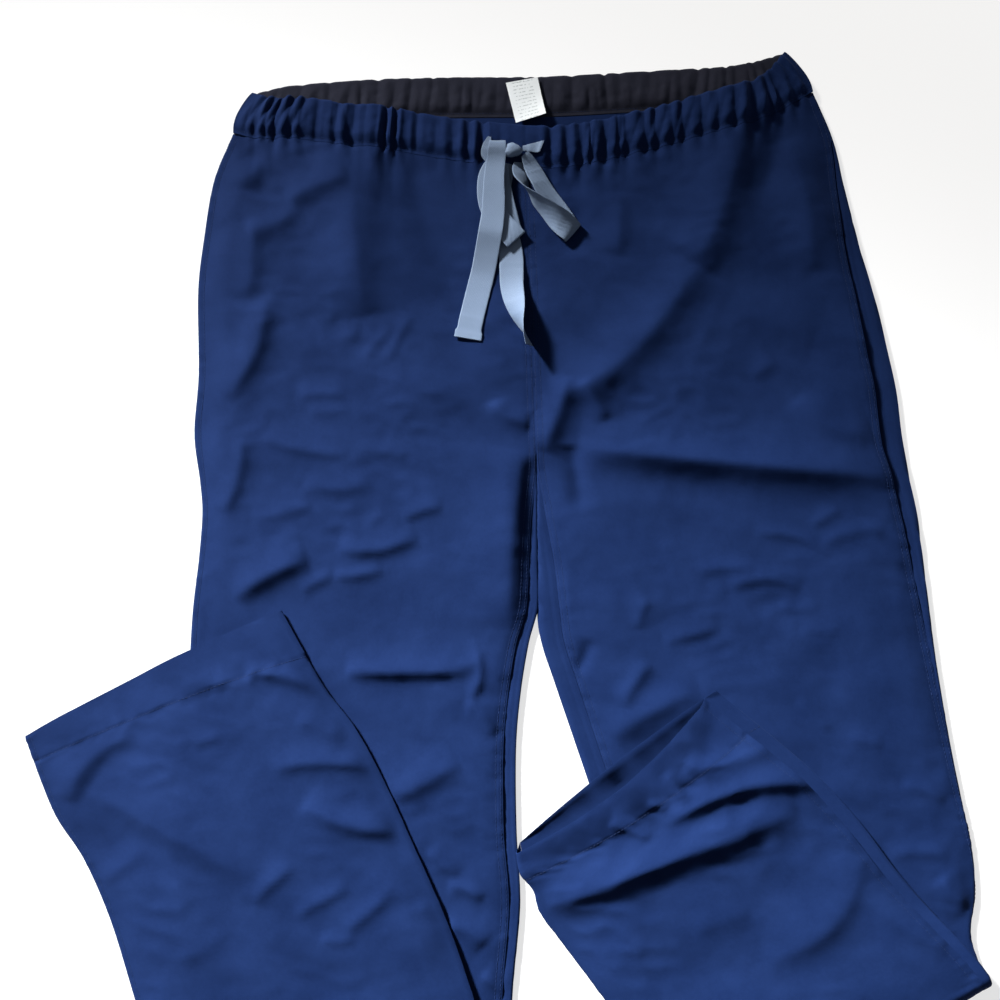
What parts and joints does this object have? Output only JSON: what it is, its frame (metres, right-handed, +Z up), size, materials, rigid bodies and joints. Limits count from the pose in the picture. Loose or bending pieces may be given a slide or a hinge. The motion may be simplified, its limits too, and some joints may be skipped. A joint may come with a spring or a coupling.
{
  "type": "scrub trousers",
  "caption": "Drawstring scrub trousers laid flat, both lower legs turned up over the front, gathered waist casing with a tied tape bow.",
  "frame": {"origin": "on the surface, under the middle of the garment's box without its drawstring", "axes": "+Z up from the surface, +Y from the hems to the waist, +X to the viewer's right, which is the wearer's left"},
  "size_m": [0.7238, 0.8903, 0.028],
  "materials": {
    "cloth": "navy poly-cotton twill, soft and slightly creased, matte with a faint sheen",
    "cloth_inside": "the same twill seen on its inside, near black, gathered",
    "label": "white woven label, bare",
    "tape": "grey-blue woven twill tape, matte"
  },
  "bodies": {
    "root": {"front_panel_right": "cloth", "front_panel_left": "cloth", "back_panel_right": "cloth", "back_panel_left": "cloth", "waistband_front": "cloth", "waistband_back": "cloth_inside", "care_label": "label", "drawstring_knot": "tape", "drawstring_lead_right": "tape", "drawstring_lead_left": "tape", "drawstring_end_long": "tape", "drawstring_end_short": "tape", "drawstring_loop_right": "tape", "drawstring_loop_left": "tape"}
  },
  "joints": []
}
